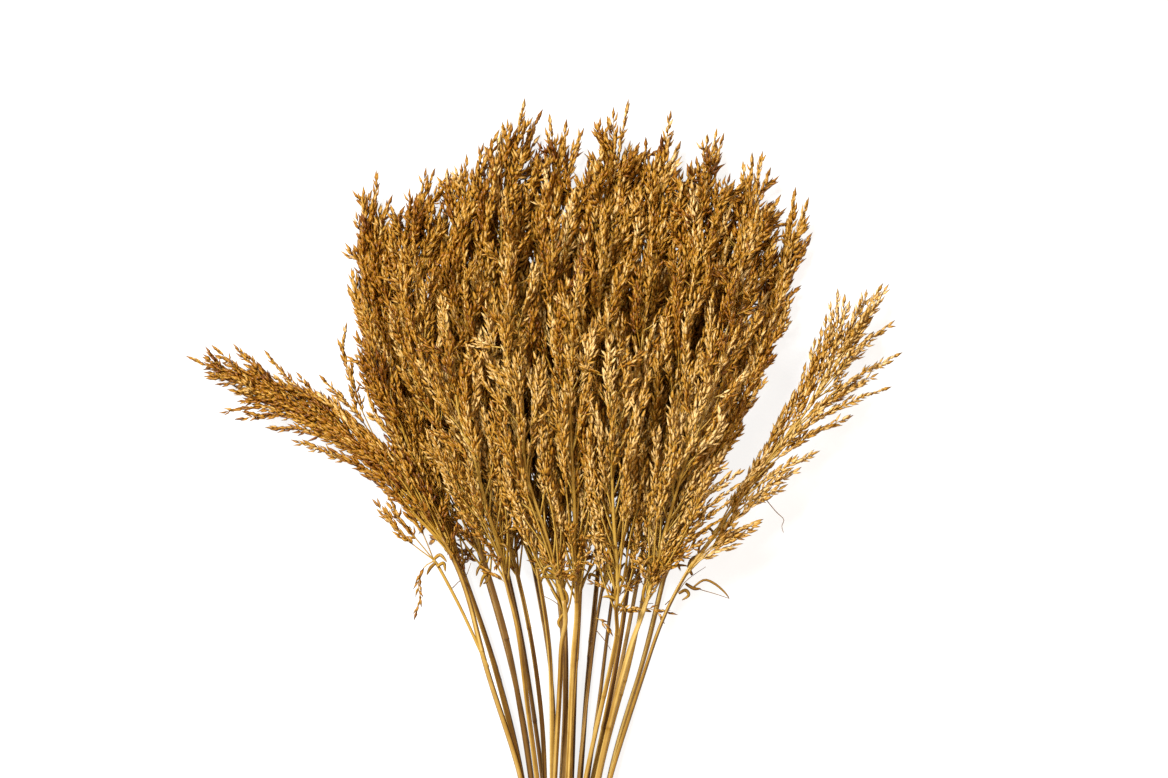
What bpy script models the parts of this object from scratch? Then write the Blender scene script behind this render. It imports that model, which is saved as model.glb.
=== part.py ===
"""Bunch of dried umbrella sedge, lying on a flat surface with its plumes towards +Y.

Each stalk is a thin stem with one long plume at its top. The stems are gathered flat, in three
levels, near their cut ends. They fan out from there, and so do the plumes, which lie in three
layers on each other. One stalk on each side leans far out and droops to the surface.

Blender 4.5, metres, +Z up. The origin is on the surface, below the middle of the bunch.
"""
import math
from collections import namedtuple

import bmesh
import bpy
from mathutils import Vector

MM = 0.001
GOLDEN_ANGLE = math.radians(137.5)

# Gathered end of the bunch
GATHER_X = 12.6 * MM
GATHER_Y = -166.0 * MM
GATHER_WIDTH = 42.0 * MM
CUT_Y = -264.0 * MM
CUT_STAGGER = 5.0 * MM
CUT_SPREAD = 1.2
NECK_Y = -65.0 * MM

# Stems
STEM_RADIUS = 2.05 * MM
STEM_TOP_SHARE = 0.72
STEM_POINTS = 8
STEM_GAP = 0.5 * MM

# Body of a plume: its thickness, its ridges and how full it is along its length
PLUME_HALF_HEIGHT = 13.2 * MM
PLUME_SEGMENTS = 8
PLUME_RINGS = 7
RIDGE_DEPTH = 0.26
RIDGE_TWIST = math.radians(14)
FULLEST_SHIFT = 0.94
TAPER_POWER = 1.1
FRAME_STEP = 0.02

# Branches that stand out of a plume, by share of its length and of its thickness
BRANCH_COUNT = 8
BRANCH_SIDES = 4
BRANCH_RADIUS = 3.4 * MM
BRANCH_TIP_RADIUS = 0.5 * MM
BRANCH_FIRST_START = 0.22
BRANCH_LAST_START = 0.66
BRANCH_RISE = 0.32
BRANCH_LAST_TIP = 0.985
BRANCH_REACH_AT_TIP = 0.55
BRANCH_REACH_ADDED = 0.42
BRANCH_FLATNESS = 0.8

# Block under the surface, which flattens what presses on it
BELOW_SIZE = (0.6, 0.8, 0.03)

# Places along a stalk's route
CUT, GATHER, NECK, BASE, MIDDLE, TIP = range(6)

# Heights of a stalk's centre line above the surface, and the level its stem is gathered in
Layer = namedtuple("Layer", "level gathered neck base middle tip")
LAYERS = {
    "back": Layer(0, 1.8 * MM, 3.6 * MM, 7.0 * MM, 8.6 * MM, 9.5 * MM),
    "middle": Layer(1, 6.3 * MM, 13.0 * MM, 21.0 * MM, 36.0 * MM, 33.0 * MM),
    "front": Layer(2, 10.8 * MM, 24.0 * MM, 35.0 * MM, 61.2 * MM, 56.0 * MM),
    "side": Layer(2, 10.8 * MM, 24.0 * MM, 39.0 * MM, 33.0 * MM, 12.0 * MM),
}

# Route of each stalk seen from above, in millimetres: where it passes the neck of the bunch,
# and the base, middle and tip of its plume. half_width is the plume's, sideways, and spread
# says how far its branches stand out.
Stalk = namedtuple(
    "Stalk", "layer colour neck_x base middle tip half_width spread", defaults=(1.0,)
)
STALKS = (
    Stalk("back", "brown", -31.0, (-74.0, 60.0), (-102.0, 144.0), (-100.0, 223.0), 11.5),
    Stalk("back", "brown", -21.0, (-57.0, 63.0), (-78.5, 150.0), (-71.0, 227.0), 11.0),
    Stalk("back", "brown", -11.0, (-40.0, 66.0), (-53.0, 156.0), (-39.0, 245.0), 11.5),
    Stalk("back", "brown", 3.0, (-20.0, 69.0), (-26.0, 162.0), (-12.0, 267.0), 12.0),
    Stalk("back", "brown", 11.5, (1.0, 72.0), (2.5, 162.0), (13.0, 259.0), 12.5),
    Stalk("back", "brown", 19.5, (22.0, 72.0), (31.0, 162.0), (47.0, 266.5), 12.5),
    Stalk("back", "brown", 28.0, (41.0, 72.0), (58.5, 159.0), (75.5, 260.0), 12.0),
    Stalk("back", "brown", 36.0, (57.5, 70.0), (85.0, 156.0), (103.0, 249.0), 11.5),
    Stalk("back", "brown", 47.0, (74.0, 66.0), (110.0, 150.0), (130.0, 235.0), 10.5),
    Stalk("back", "brown", 60.0, (91.0, 60.0), (131.5, 138.0), (157.0, 207.0), 10.0),
    Stalk("middle", "golden", -31.0, (-61.0, 20.0), (-92.5, 90.0), (-107.0, 149.0), 10.5),
    Stalk("middle", "brown", -19.5, (-43.0, 20.0), (-68.0, 99.0), (-77.0, 192.0), 11.0),
    Stalk("middle", "golden", -5.0, (-23.0, 17.0), (-41.0, 102.0), (-47.0, 179.0), 11.0),
    Stalk("middle", "golden", 3.5, (-6.5, 11.0), (-17.0, 108.0), (-22.0, 214.0), 10.5),
    Stalk("middle", "brown", 13.5, (9.5, 8.0), (7.5, 111.0), (5.0, 201.0), 11.0),
    Stalk("middle", "golden", 19.0, (24.0, 8.0), (32.0, 111.0), (34.5, 205.0), 11.0),
    Stalk("middle", "brown", 28.0, (40.5, 8.0), (57.0, 108.0), (64.0, 185.0), 11.0),
    Stalk("middle", "golden", 44.0, (54.5, 8.0), (80.5, 105.0), (93.5, 195.0), 9.5),
    Stalk("middle", "golden", 51.5, (67.5, 11.0), (99.5, 98.0), (120.5, 193.5), 8.8),
    Stalk("middle", "golden", 59.0, (81.0, 14.0), (115.0, 83.0), (143.5, 158.0), 8.2),
    Stalk("front", "golden", -12.5, (-24.0, -8.5), (-44.5, 67.5), (-60.0, 149.0), 12.5),
    Stalk("front", "golden", 9.5, (12.0, -27.5), (-11.0, 64.5), (-29.5, 155.0), 12.0),
    Stalk("front", "golden", 18.0, (19.5, -16.0), (16.5, 73.0), (20.5, 171.0), 10.5),
    Stalk("front", "golden", 41.0, (43.0, -27.5), (39.5, 64.5), (35.0, 149.0), 10.5),
    Stalk("front", "golden", 49.5, (63.0, -21.5), (85.5, 64.5), (114.0, 131.5), 12.5),
    Stalk("side", "golden", -34.5, (-60.0, 10.0), (-122.0, 70.0), (-211.0, 115.5), 13.0, 1.3),
    Stalk("side", "golden", 62.0, (88.5, -4.5), (145.5, 69.0), (201.0, 158.0), 15.0, 2.7),
)


def clear_scene():
    for scene_object in list(bpy.data.objects):
        bpy.data.objects.remove(scene_object, do_unlink=True)


def new_collection(name):
    collection = bpy.data.collections.new(name)
    bpy.context.scene.collection.children.link(collection)
    return collection


def principled(name, colour, roughness):
    material = bpy.data.materials.new(name)
    material.use_nodes = True
    shader = material.node_tree.nodes["Principled BSDF"]
    shader.inputs["Base Color"].default_value = (*colour, 1.0)
    shader.inputs["Roughness"].default_value = roughness
    shader.inputs["Metallic"].default_value = 0.0
    return material


def make_materials():
    return {
        "golden": principled("golden_stem", (0.46, 0.27, 0.07), 0.5),
        "brown": principled("brown_stem", (0.27, 0.13, 0.05), 0.5),
        "husk": principled("golden_husk", (0.36, 0.18, 0.035), 0.7),
    }


def smooth_point(points, place):
    """Point of a Catmull-Rom curve through points, at place 0 to len(points) - 1."""
    index = min(int(place), len(points) - 2)
    share = place - index
    before = points[max(index - 1, 0)]
    start = points[index]
    end = points[index + 1]
    after = points[min(index + 2, len(points) - 1)]
    start_slope = (end - before) / 2
    end_slope = (after - start) / 2
    square = share * share
    cube = square * share
    return (
        start * (2 * cube - 3 * square + 1)
        + start_slope * (cube - 2 * square + share)
        + end * (3 * square - 2 * cube)
        + end_slope * (cube - square)
    )


def stalk_route(stalk, number, column):
    """Control points of a stalk's centre line, from the cut end to the plume's tip.

    column is the stem's place across the gathered end, from -0.5 to 0.5.
    """
    heights = LAYERS[stalk.layer]
    gathered_x = column * GATHER_WIDTH
    cut_y = CUT_Y + CUT_STAGGER * math.sin(number * GOLDEN_ANGLE)
    return [
        Vector((GATHER_X + gathered_x * CUT_SPREAD, cut_y, heights.gathered)),
        Vector((GATHER_X + gathered_x, GATHER_Y, heights.gathered)),
        Vector((stalk.neck_x * MM, NECK_Y, heights.neck)),
        Vector((stalk.base[0] * MM, stalk.base[1] * MM, heights.base)),
        Vector((stalk.middle[0] * MM, stalk.middle[1] * MM, heights.middle)),
        Vector((stalk.tip[0] * MM, stalk.tip[1] * MM, heights.tip)),
    ]


def stem_columns():
    """Place of every stem across the gathered end, in the order of the necks in its level."""
    levels = {}
    for number, stalk in enumerate(STALKS):
        levels.setdefault(LAYERS[stalk.layer].level, []).append(number)
    columns = {}
    for members in levels.values():
        members.sort(key=lambda number: STALKS[number].neck_x)
        for rank, number in enumerate(members):
            columns[number] = rank / (len(members) - 1) - 0.5
    return columns


def make_stem(name, route, material):
    """Tapered round stem from the cut end to just short of the plume."""
    curve = bpy.data.curves.new(name, "CURVE")
    curve.dimensions = "3D"
    curve.bevel_depth = STEM_RADIUS
    curve.bevel_resolution = 1
    curve.use_fill_caps = True
    spline = curve.splines.new("POLY")
    spline.points.add(STEM_POINTS - 1)
    end_place = BASE - STEM_GAP / (route[BASE] - route[NECK]).length
    for index, point in enumerate(spline.points):
        share = index / (STEM_POINTS - 1)
        place = smooth_point(route, share * end_place) - route[CUT]
        point.co = (*place, 1.0)
        point.radius = 1 - (1 - STEM_TOP_SHARE) * share
    curve.materials.append(material)
    stem = bpy.data.objects.new(name, curve)
    stem.location = route[CUT]
    return stem


def plume_point(route, share):
    """Point on a plume's axis, share 0 at its base and 1 at its tip."""
    return smooth_point(route, BASE + (TIP - BASE) * share)


def plume_frame(route, share):
    """Axis point, sideways direction and upward direction at a share of the plume's length."""
    ahead = plume_point(route, min(share + FRAME_STEP, 1.0))
    behind = plume_point(route, max(share - FRAME_STEP, 0.0))
    along = (ahead - behind).normalized()
    sideways = along.cross(Vector((0, 0, 1))).normalized()
    return plume_point(route, share), sideways, sideways.cross(along)


def fullness(share):
    """Thickness of a plume's body at a share of its length, 1 at the fullest."""
    if not 0 < share < 1:
        return 0.0
    return math.sin(math.pi * share ** FULLEST_SHIFT) ** TAPER_POWER


def ridge(angle):
    """Thickness at an angle round the body, 1 on a ridge and less between two ridges."""
    return 1 - RIDGE_DEPTH * (1 - math.cos(angle * PLUME_SEGMENTS / 2)) / 2


def finished_mesh(mesh, name):
    bmesh.ops.recalc_face_normals(mesh, faces=mesh.faces)
    data = bpy.data.meshes.new(name)
    mesh.to_mesh(data)
    mesh.free()
    return data


def body_mesh(name, stalk, route):
    """Ridged spindle bent along the plume's axis."""
    mesh = bmesh.new()
    bmesh.ops.create_uvsphere(
        mesh, u_segments=PLUME_SEGMENTS, v_segments=PLUME_RINGS, radius=1.0
    )
    for vertex in mesh.verts:
        share = min(max((vertex.co.z + 1) / 2, 0.0), 1.0)
        round_angle = math.atan2(vertex.co.y, vertex.co.x)
        angle = round_angle + RIDGE_TWIST * PLUME_RINGS * share
        centre, sideways, upward = plume_frame(route, share)
        thickness = fullness(share) * ridge(round_angle)
        out = sideways * (stalk.half_width * MM * thickness * math.cos(angle))
        rise = upward * (PLUME_HALF_HEIGHT * thickness * math.sin(angle))
        vertex.co = centre + out + rise - route[BASE]
    return finished_mesh(mesh, name)


def branch_ends(stalk, route, index):
    """Start on the plume's axis and outward tip of one branch."""
    order = index / (BRANCH_COUNT - 1)
    share = BRANCH_FIRST_START + (BRANCH_LAST_START - BRANCH_FIRST_START) * order
    tip_share = min(share + BRANCH_RISE, BRANCH_LAST_TIP)
    centre, sideways, upward = plume_frame(route, tip_share)
    angle = index * GOLDEN_ANGLE
    reach = BRANCH_REACH_AT_TIP + BRANCH_REACH_ADDED * math.sin(math.pi * tip_share)
    out = sideways * (stalk.half_width * MM * stalk.spread * reach * math.cos(angle))
    rise = upward * (BRANCH_FLATNESS * PLUME_HALF_HEIGHT * reach * math.sin(angle))
    return plume_point(route, share), centre + out + rise


def branches_mesh(name, stalk, route):
    """All branches of one plume, each a slim cone from the axis to beyond the body."""
    mesh = bmesh.new()
    for index in range(BRANCH_COUNT):
        start, tip = branch_ends(stalk, route, index)
        reach = tip - start
        cone = bmesh.ops.create_cone(
            mesh,
            cap_ends=True,
            segments=BRANCH_SIDES,
            radius1=BRANCH_RADIUS,
            radius2=BRANCH_TIP_RADIUS,
            depth=reach.length,
        )
        turn = reach.to_track_quat("Z", "Y")
        middle = (start + tip) / 2 - route[BASE]
        for vertex in cone["verts"]:
            vertex.co = turn @ vertex.co + middle
    return finished_mesh(mesh, name)


def make_helper(name, mesh, location, collection):
    """Hidden object that a Boolean reads."""
    helper = bpy.data.objects.new(name, mesh)
    helper.location = location
    helper.hide_render = True
    helper.display_type = "WIRE"
    collection.objects.link(helper)
    return helper


def make_below_surface(collection):
    """Block that fills the space just below the surface."""
    mesh = bmesh.new()
    bmesh.ops.create_cube(mesh, size=1.0)
    bmesh.ops.scale(mesh, vec=BELOW_SIZE, verts=mesh.verts)
    place = Vector((0, 0, -BELOW_SIZE[2] / 2))
    return make_helper("below_surface", finished_mesh(mesh, "below_surface"), place, collection)


def add_boolean(piece, operation, other):
    boolean = piece.modifiers.new(other.name, "BOOLEAN")
    boolean.operation = operation
    boolean.solver = "EXACT"
    boolean.use_self = operation == "UNION"
    boolean.object = other


def make_plume(name, stalk, route, material, below, helpers):
    """A bent body joined with its branches, and cut flat where it presses on the surface."""
    plume = bpy.data.objects.new(name, body_mesh(name, stalk, route))
    plume.data.materials.append(material)
    plume.location = route[BASE]
    branches = branches_mesh(name + "_branches", stalk, route)
    add_boolean(plume, "UNION", make_helper(branches.name, branches, route[BASE], helpers))
    if stalk.layer == "back":
        add_boolean(plume, "DIFFERENCE", below)
    return plume


def build():
    clear_scene()
    bunch = new_collection("dried_sedge_bunch")
    helpers = new_collection("helpers")
    materials = make_materials()
    below = make_below_surface(helpers)
    root = bpy.data.objects.new("sedge_bunch_root", None)
    bunch.objects.link(root)
    columns = stem_columns()
    for number, stalk in enumerate(STALKS):
        route = stalk_route(stalk, number, columns[number])
        label = f"{number + 1:02d}"
        stem = make_stem("stem_" + label, route, materials[stalk.colour])
        plume = make_plume("plume_" + label, stalk, route, materials["husk"], below, helpers)
        for piece in (stem, plume):
            piece.parent = root
            bunch.objects.link(piece)


build()
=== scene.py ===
"""Looks of the bunch of dried umbrella sedge: husks, branches, stems, light and camera.

The bunch lies on a pale floor with its plumes towards +Y, and the camera looks down on it.
Metres, in the same frame as the solids.
"""
import math
from collections import namedtuple

import bpy
import numpy as np
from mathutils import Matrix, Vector


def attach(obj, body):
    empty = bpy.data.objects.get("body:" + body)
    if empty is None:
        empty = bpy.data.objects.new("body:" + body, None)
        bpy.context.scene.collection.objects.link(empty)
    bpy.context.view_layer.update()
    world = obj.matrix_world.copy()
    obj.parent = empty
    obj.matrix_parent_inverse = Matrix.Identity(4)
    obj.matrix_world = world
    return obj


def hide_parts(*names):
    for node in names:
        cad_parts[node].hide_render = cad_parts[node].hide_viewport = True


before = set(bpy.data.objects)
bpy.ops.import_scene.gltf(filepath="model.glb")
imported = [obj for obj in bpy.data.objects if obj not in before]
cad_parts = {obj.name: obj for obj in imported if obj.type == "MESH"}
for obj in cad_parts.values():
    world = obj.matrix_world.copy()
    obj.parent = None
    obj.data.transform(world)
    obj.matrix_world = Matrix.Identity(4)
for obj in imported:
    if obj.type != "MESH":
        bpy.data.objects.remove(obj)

MM = 0.001
GOLDEN_ANGLE = math.radians(137.5)
SEED = 27

# Camera, straight above the surface
PHOTO_WIDTH = 1168
PHOTO_PIXEL = 0.6 * MM
CAMERA_HEIGHT = 2200 * MM
CAMERA_X = 24 * MM
CAMERA_Y = 97 * MM
SENSOR_WIDTH = 36.0

# Gathered end of the bunch
GATHER_X = 12.6 * MM
GATHER_Y = -166 * MM
GATHER_WIDTH = 42 * MM
CUT_Y = -264 * MM
CUT_STAGGER = 5 * MM
CUT_SPREAD = 1.2
NECK_Y = -65 * MM

# Places along a stalk's route
CUT, GATHER, NECK, BASE, MIDDLE, TIP = range(6)

# Heights of a stalk's centre line in millimetres, and the level its stem is gathered in.
# tone says how light the layer's husks are, from 0 to 1, husk how large they are, rings how
# their form is made, and skirt how far below its base, on its route, a plume's lowest
# branches leave the stem. Up to open, a share of its length, its axis shows from above.
# fade says how much lighter its lowest branches are than its highest.
Layer = namedtuple("Layer", "level gathered neck base middle tip tone husk rings skirt open fade")
# A husk's rings: share of its length, half width, and depth, as shares of the full sizes
FINE_HUSK = ((0.27, 1.0, 1.0), (0.64, 0.76, 0.8))
PLAIN_HUSK = ((0.38, 1.0, 1.0),)
# Share of a plume's husks, the lowest ones, that have the plain form in every layer
PLAIN_SHARE = 0.58
# The back and middle layers have lower tones than the front: painted shade under the layers above
# them
LAYERS = {
    "back": Layer(
        level=0, gathered=1.8, neck=3.6, base=7.0, middle=8.6, tip=9.5,
        tone=0.45, husk=1.22, rings=PLAIN_HUSK, skirt=0.52, open=0.0, fade=0.0,
    ),
    "middle": Layer(
        level=1, gathered=6.3, neck=13.0, base=21.0, middle=36.0, tip=33.0,
        tone=0.50, husk=1.02, rings=FINE_HUSK, skirt=0.45, open=0.12, fade=0.2,
    ),
    "front": Layer(
        level=2, gathered=10.8, neck=24.0, base=35.0, middle=61.2, tip=56.0,
        tone=0.61, husk=1.0, rings=FINE_HUSK, skirt=0.25, open=0.3, fade=0.25,
    ),
    "side": Layer(
        level=2, gathered=10.8, neck=24.0, base=39.0, middle=33.0, tip=12.0,
        tone=0.56, husk=1.08, rings=FINE_HUSK, skirt=0.25, open=0.12, fade=0.0,
    ),
}
# The stalks on the right are a little paler: the tone gained per metre towards +X
PALER_RIGHT = 0.6

# Each stalk seen from above, in millimetres: where it passes the neck of the bunch, the base,
# middle and tip of its plume, the plume's half width, how many branches it carries, whether
# they flare towards the tip, and how much lighter it is than its layer
Stalk = namedtuple(
    "Stalk",
    "layer colour neck_x base middle tip half_width branches flared lighter",
    defaults=(22.0, 33, False, 0.0),
)
STALKS = (
    Stalk("back", "brown", -31.0, (-74.0, 60.0), (-102.0, 144.0), (-100.0, 223.0), 12.0, 68),
    Stalk("back", "brown", -21.0, (-57.0, 63.0), (-78.5, 150.0), (-71.0, 225.0), 22.0, 98),
    Stalk("back", "brown", -11.0, (-40.0, 66.0), (-53.0, 156.0), (-37.0, 240.0), 25.0, 104),
    Stalk("back", "brown", 3.0, (-20.0, 69.0), (-26.0, 162.0), (-12.0, 267.0), 25.0, 104),
    Stalk("back", "brown", 11.5, (1.0, 72.0), (2.5, 162.0), (13.0, 254.0), 25.0, 104),
    Stalk("back", "brown", 19.5, (22.0, 72.0), (31.0, 162.0), (50.0, 266.5), 25.0, 104),
    Stalk("back", "brown", 28.0, (41.0, 72.0), (58.5, 159.0), (75.5, 260.0), 25.0, 104),
    Stalk("back", "brown", 36.0, (57.5, 70.0), (85.0, 156.0), (103.0, 249.0), 25.0, 104),
    Stalk("back", "brown", 47.0, (74.0, 66.0), (110.0, 150.0), (130.0, 235.0), 22.0, 98),
    Stalk("back", "brown", 60.0, (91.0, 60.0), (131.5, 138.0), (157.0, 207.0), 6.5, 56),
    Stalk("middle", "golden", -31.0, (-61.0, 20.0), (-92.5, 90.0), (-107.0, 149.0), 12.0),
    Stalk("middle", "brown", -19.5, (-43.0, 20.0), (-68.0, 99.0), (-77.0, 192.0)),
    Stalk("middle", "golden", -5.0, (-23.0, 17.0), (-41.0, 102.0), (-47.0, 179.0)),
    Stalk("middle", "golden", 3.5, (-6.5, 11.0), (-17.0, 108.0), (-22.0, 214.0)),
    Stalk("middle", "brown", 13.5, (9.5, 8.0), (7.5, 111.0), (5.0, 201.0)),
    Stalk("middle", "golden", 19.0, (24.0, 8.0), (32.0, 111.0), (34.5, 205.0)),
    Stalk("middle", "brown", 28.0, (40.5, 8.0), (57.0, 108.0), (64.0, 185.0)),
    Stalk("middle", "golden", 44.0, (54.5, 8.0), (80.5, 105.0), (93.5, 195.0)),
    Stalk("middle", "golden", 51.5, (67.5, 11.0), (99.5, 98.0), (120.5, 193.5), 20.0),
    Stalk("middle", "golden", 59.0, (81.0, 14.0), (115.0, 83.0), (143.5, 158.0), 6.0),
    Stalk("front", "golden", -12.5, (-24.0, -8.5), (-44.5, 67.5), (-60.0, 149.0), 20.0),
    Stalk("front", "golden", 9.5, (12.0, -27.5), (-11.0, 64.5), (-29.5, 155.0), 21.0),
    Stalk("front", "golden", 18.0, (19.5, -16.0), (16.5, 73.0), (20.5, 171.0), 20.0),
    Stalk("front", "golden", 41.0, (43.0, -27.5), (41.5, 64.5), (37.0, 149.0), 23.0, 36),
    Stalk("front", "golden", 49.5, (63.0, -21.5), (85.5, 64.5), (114.0, 131.5), 20.0),
    Stalk("side", "golden", -34.5, (-60.0, 10.0), (-120.5, 73.0), (-211.0, 115.5), 12.0, 46,
          lighter=-0.14),
    Stalk("side", "golden", 62.0, (88.5, -4.5), (145.5, 69.0), (201.0, 158.0), 15.0, 8, True,
          lighter=0.06),
)

# Tips of the ears that stand out at the edge of a plume, in millimetres, by stalk number
TIPS = {
    1: ((-108, 218), (-92, 213), (-85, 207), (-91, 186), (-90, 166)),
    2: ((-80, 217), (-60, 224), (-66, 229)),
    3: ((-54, 222), (-28, 252), (-46, 237), (-44, 186)),
    4: ((-18, 235), (-17, 250), (-2, 264)),
    5: ((4, 261), (23, 253), (11, 250), (-8, 183)),
    6: ((30, 239), (36, 241), (42, 265), (52, 241)),
    7: ((63, 239), (69, 242), (81, 245)),
    8: ((98, 249), (107, 250), (114, 222), (92, 236)),
    9: ((120, 233), (125, 238), (135, 229), (141, 213), (124, 148)),
    10: ((151, 217), (159, 187), (148, 200), (121, 143), (116, 130)),
    19: ((123, 146), (121, 139)),
    20: ((146, 141), (136, 119)),
    25: ((117, 52), (115, 44), (110, 34), (106, 24), (101, 14)),
    26: (
        (-199, 123), (-186, 124), (-167, 120), (-148, 107),
        (-200, 105), (-194, 85), (-184, 81), (-165, 76), (-204, 116), (-197, 110),
    ),
    27: (
        (206, 160), (177, 157), (181, 154), (170, 142), (198, 147), (209, 139), (213, 120),
        (173, 150), (167, 134), (186, 143), (191, 153), (177, 128), (196, 140),
        (196, 128), (199, 108), (193, 104), (206, 100), (183, 83), (163, 128), (157, 113),
        (150, 97), (144, 88), (163, 62), (152, 52), (144, 42), (129, 22), (126, 16), (117, 8),
        (134, 64), (127, 47),
    ),
}

# Loose shoots, rays, threads and bracts, each in the mesh of the plume beside it: the stalk's
# number, the kind, the heights of both ends, and its points seen from above, in millimetres
Stray = namedtuple("Stray", "number kind low high points")
STRAYS = (
    Stray(26, "shoot", 24, 33, ((-33, -68), (-38, -57), (-49, -33), (-61, -10), (-65, -4))),
    Stray(26, "ray", 33, 34, ((-65, -4), (-77, 5), (-86, 14), (-97, 27))),
    Stray(26, "ray", 33, 36, ((-65, -4), (-71, 11), (-78, 24), (-86, 38))),
    Stray(26, "ray", 33, 31, ((-65, -4), (-75, 8), (-85, 20), (-92, 34))),
    Stray(26, "ear", 33, 28,
          ((-65, -5), (-70, -8), (-73, -14), (-74, -20), (-73, -26), (-75, -34))),
    Stray(26, "bract", 33, 30, ((-64, -6), (-67, -9), (-69, -13))),
    Stray(26, "bract", 33, 36, ((-65, -4), (-61, -1), (-57, -5))),
    Stray(26, "bract", 33, 31, ((-63, -8), (-59, -6), (-58, -11))),
    Stray(26, "thread", 27, 30, ((-54, -21), (-50, -17), (-46, -14), (-43, -6))),
    Stray(26, "ray", 34, 26, ((-103, 48), (-121, 56), (-132, 61), (-144, 65))),
    Stray(26, "ray", 30, 22, ((-96, 60), (-110, 82), (-117, 89), (-129, 101))),
    Stray(26, "ray", 30, 18, ((-96, 60), (-108, 85), (-114, 103), (-119, 119), (-118, 131))),
    Stray(11, "bract", 20, 17, ((-34, -13), (-36, -15), (-38, -21))),
    Stray(11, "bract", 20, 22, ((-32, -12), (-38, -9), (-40, -14))),
    Stray(11, "bract", 19, 16, ((-32, -14), (-33, -17), (-36, -19))),
    Stray(22, "thread", 27, 30, ((13, -35), (9, -31), (5, -28), (-1, -25))),
    Stray(22, "thread", 27, 31, ((13, -35), (8, -28), (4, -21))),
    Stray(22, "bract", 27, 30, ((-3, -13), (2, -10), (7, -14))),
    Stray(22, "bract", 27, 25, ((12, -36), (9, -41), (10, -45))),
    Stray(24, "bract", 22, 25, ((27, -16), (28, -13), (33, -15))),
    Stray(24, "ear", 20, 22, ((31, -39), (35, -41), (38, -45))),
    Stray(24, "thread", 20, 23, ((30, -45), (36, -52), (40, -58))),
    Stray(25, "bract", 27, 29, ((62, -13), (66, -12), (70, -16))),
    Stray(25, "bract", 26, 27, ((56, -34), (60, -34), (64, -35))),
    Stray(25, "thread", 26, 29, ((57, -29), (61, -30), (65, -30))),
    Stray(27, "thread", 26, 33, ((72, -31), (79, -24), (85, -16), (96, -8))),
    Stray(27, "bract", 31, 30, ((80, -24), (84, -22), (86, -25), (82, -28))),
    Stray(27, "bract", 33, 35, ((88, -13), (86, -8), (88, -3), (92, -1))),
    Stray(27, "bract", 32, 32, ((84, -18), (89, -21), (93, -21))),
    Stray(27, "leaf", 31, 30, ((89, -20), (95, -16), (101, -18), (107, -23), (110, -27))),
    Stray(27, "thread", 31, 30, ((89, -20), (94, -22), (101, -24), (110, -27))),
    Stray(27, "thread", 36, 30, ((128, 36), (137, 25), (142, 20), (141, 16), (142, 12))),
)

# Below, a name that ends in FROM, TO or PLACES is a share of the way along a branch or an axis,
# and one that ends in TWIGS is the two shares that twigs stand between. Any other pair is the
# range of a random value, where nothing else is said.

# Strays
STRAY_RINGS = 14
SHOOT_RADIUS = 0.95 * MM
SHOOT_SIDES = 6
SHOOT_TONE = 0.95
RAY_RADIUS = 0.5 * MM
RAY_TONE = 0.5
RAY_EAR_FROM = 0.35
RAY_TWIGS = (0.3, 0.84)
LOOSE_EAR_TONE = 0.45
LOOSE_EAR_FROM = 0.2
THREAD_RADIUS = 0.3 * MM
THREAD_SIDES = 4
THREAD_TONE = 0.1
LEAF_WIDTH = 0.75 * MM
LEAF_TONE = 0.35
LOOSE_BRACT_TONES = (0.1, 0.7)

# Bracts at a plume's foot, with lengths in millimetres
BRACTS = 8
BRACT_RINGS = 8
BRACT_PLACES = (0.02, 0.2)
BRACT_LENGTH = (8, 18)
BRACT_WIDTH = 1.05 * MM
BRACT_WIDTH_SHARES = (0.6, 1.0)
BRACT_OPENING = (0.2, 1.0)
BRACT_CURL = (0.8, 3.2)
BRACT_TONES = (0.2, 0.8)

# Strips that bracts and leaves are made of. Their width follows a half wave, from the first
# share of it in STRIP_SPAN to the second, made fuller by a power.
STRIP_SIDES = 4
STRIP_FLATNESS = 0.35
STRIP_SPAN = (0.2, 0.97)
STRIP_FULLNESS = 0.7

# Stems
STEM_SEED = 100
STEM_RADIUS = 2.05 * MM
STEM_TOP_SHARE = 0.74
STEM_THICKNESS = (0.58, 0.94)
STEM_SIDES = 12
STEM_RINGS = 50
STEM_TONES = (0.2, 0.7)
STEM_WOBBLE = 0.6 * MM
WOBBLE_WAVES = (9, 15)
WOBBLE_SHIFT = (0, 6)

# A stem's nodes, in steps of its route: how far they keep from the gathered place and from the
# plume's base, the extra rings round each, its own length, and that of the sheath above it. The
# two swells are shares of the stem's radius.
MOST_NODES = 2
NODE_MARGIN = 0.1
NODE_STEPS = (-0.03, -0.015, -0.006, 0.0, 0.006, 0.012, 0.03, 0.06)
NODE_LENGTH = 0.01
NODE_SWELL = 0.07
SHEATH_LENGTH = 0.1
SHEATH_SWELL = 0.1

# A stem's blunt edges: how high they are, how far they turn along it, and how uneven it is
STEM_EDGES = 3
EDGE_HEIGHT = 0.13
EDGE_TURN = 2
UNEVENNESS = 0.03

# Shades of a stem: changes along it, the same all round and then side by side, with their
# steps, and how much its painted shade on one side, its edges and its nodes add or take
MIDDLE_SHADE = 0.5
LONG_SHADE_STEPS = 7
LONG_SHADE = 0.2
SIDE_SHADE_STEPS = 6
SIDE_SHADE = 0.26
PAINTED_SIDE_SHADE = 0.3
PAINTED_SIDE_SHADE_TURN = 0.9
EDGE_SHADE = 0.22
NODE_SHADE = 0.2

# Rachis of a plume. Its tube starts at RACHIS_FIRST_RING, and its axis stops short of the
# route's end by RACHIS_SHORT steps of the route.
RACHIS_RADIUS = 1.3 * MM
RACHIS_TIP_RADIUS = 0.35 * MM
RACHIS_SIDES = 6
RACHIS_RINGS = 48
RACHIS_FIRST_RING = 4
RACHIS_SHORT = 0.06
WANDER = 1.3 * MM
WANDER_STEPS = 7

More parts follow.
